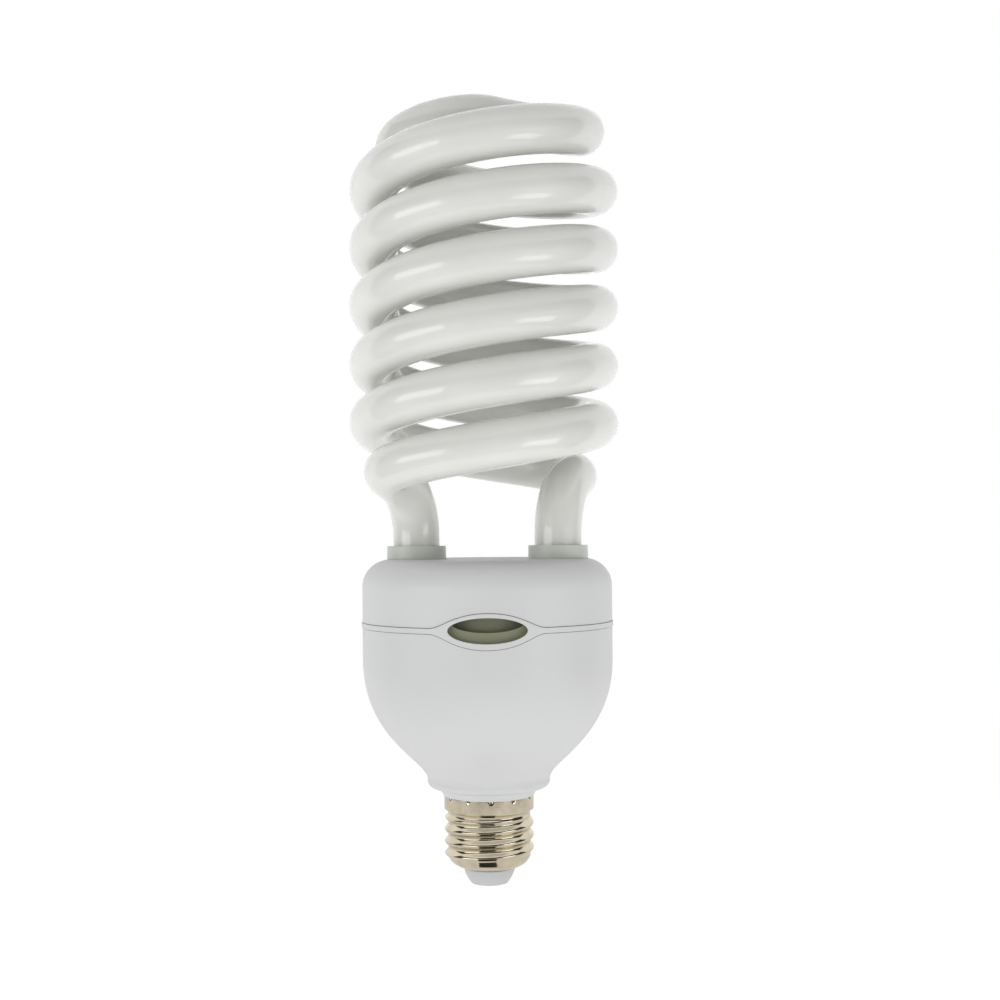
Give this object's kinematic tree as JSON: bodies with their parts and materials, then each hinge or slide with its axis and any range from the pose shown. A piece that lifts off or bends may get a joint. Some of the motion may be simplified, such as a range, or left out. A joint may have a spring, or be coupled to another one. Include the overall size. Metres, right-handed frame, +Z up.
{
  "type": "spiral energy saving bulb",
  "caption": "Mains fluorescent lamp with a tall double-helix glass tube, a vented bowl-shaped ballast housing and a screw cap",
  "frame": {"origin": "The middle of the flat at the tip of the centre contact, on the lamp's axis.", "axes": "+Z runs up the lamp's axis from the cap to the crown of the tube. The legs of the tube stand at -X and +X. The vents of the housing face -Y and +Y, and -Y is the front."},
  "size_m": [0.079, 0.079, 0.2323],
  "materials": {
    "phosphor_glass": "phosphor coated glass tube, glossy outside, opaque white",
    "white_plastic": "moulded white plastic, satin",
    "collar_plastic": "moulded off-white plastic, slightly translucent",
    "silicone": "cast white silicone",
    "nickel": "nickel plated rolled sheet, satin to bright",
    "cap_plastic": "moulded pale grey insulator",
    "solder": "tinned brass disc with a solder dome",
    "board_laminate": "tan laminate",
    "tinned_wire": "tinned metal",
    "capacitor_sleeve": "dark shrink sleeve",
    "ferrite": "sintered ferrite",
    "bobbin_plastic": "dark moulded plastic",
    "copper": "enamelled copper wire",
    "inductor_sleeve": "dark shrink sleeve",
    "black_resin": "moulded black resin",
    "film_resin": "dipped brown resin",
    "resistor_coat": "lacquered body",
    "thermistor_coat": "lacquered disc",
    "wire_red": "red insulation",
    "wire_black": "black insulation"
  },
  "bodies": {
    "root": {"discharge_tube": "phosphor_glass", "tube_cover": "white_plastic", "tube_holder": "collar_plastic", "tube_seals": "silicone", "vent_ring": "white_plastic", "ballast_housing": "white_plastic", "screw_shell": "nickel", "cap_insulator": "cap_plastic", "centre_contact": "solder", "circuit_board": "board_laminate", "wrap_pins": "tinned_wire", "lead_in_wires": "tinned_wire", "main_capacitor": "capacitor_sleeve", "choke_core": "ferrite", "choke_bobbin": "bobbin_plastic", "choke_winding": "copper", "filter_inductor": "inductor_sleeve", "drive_toroid": "ferrite", "toroid_windings": "copper", "power_transistors": "black_resin", "resonant_capacitor": "film_resin", "coupling_capacitor": "film_resin", "rectifier_diodes": "black_resin", "fusible_resistor": "resistor_coat", "start_thermistor": "thermistor_coat", "live_lead": "wire_red", "neutral_lead": "wire_black"}
  },
  "joints": []
}
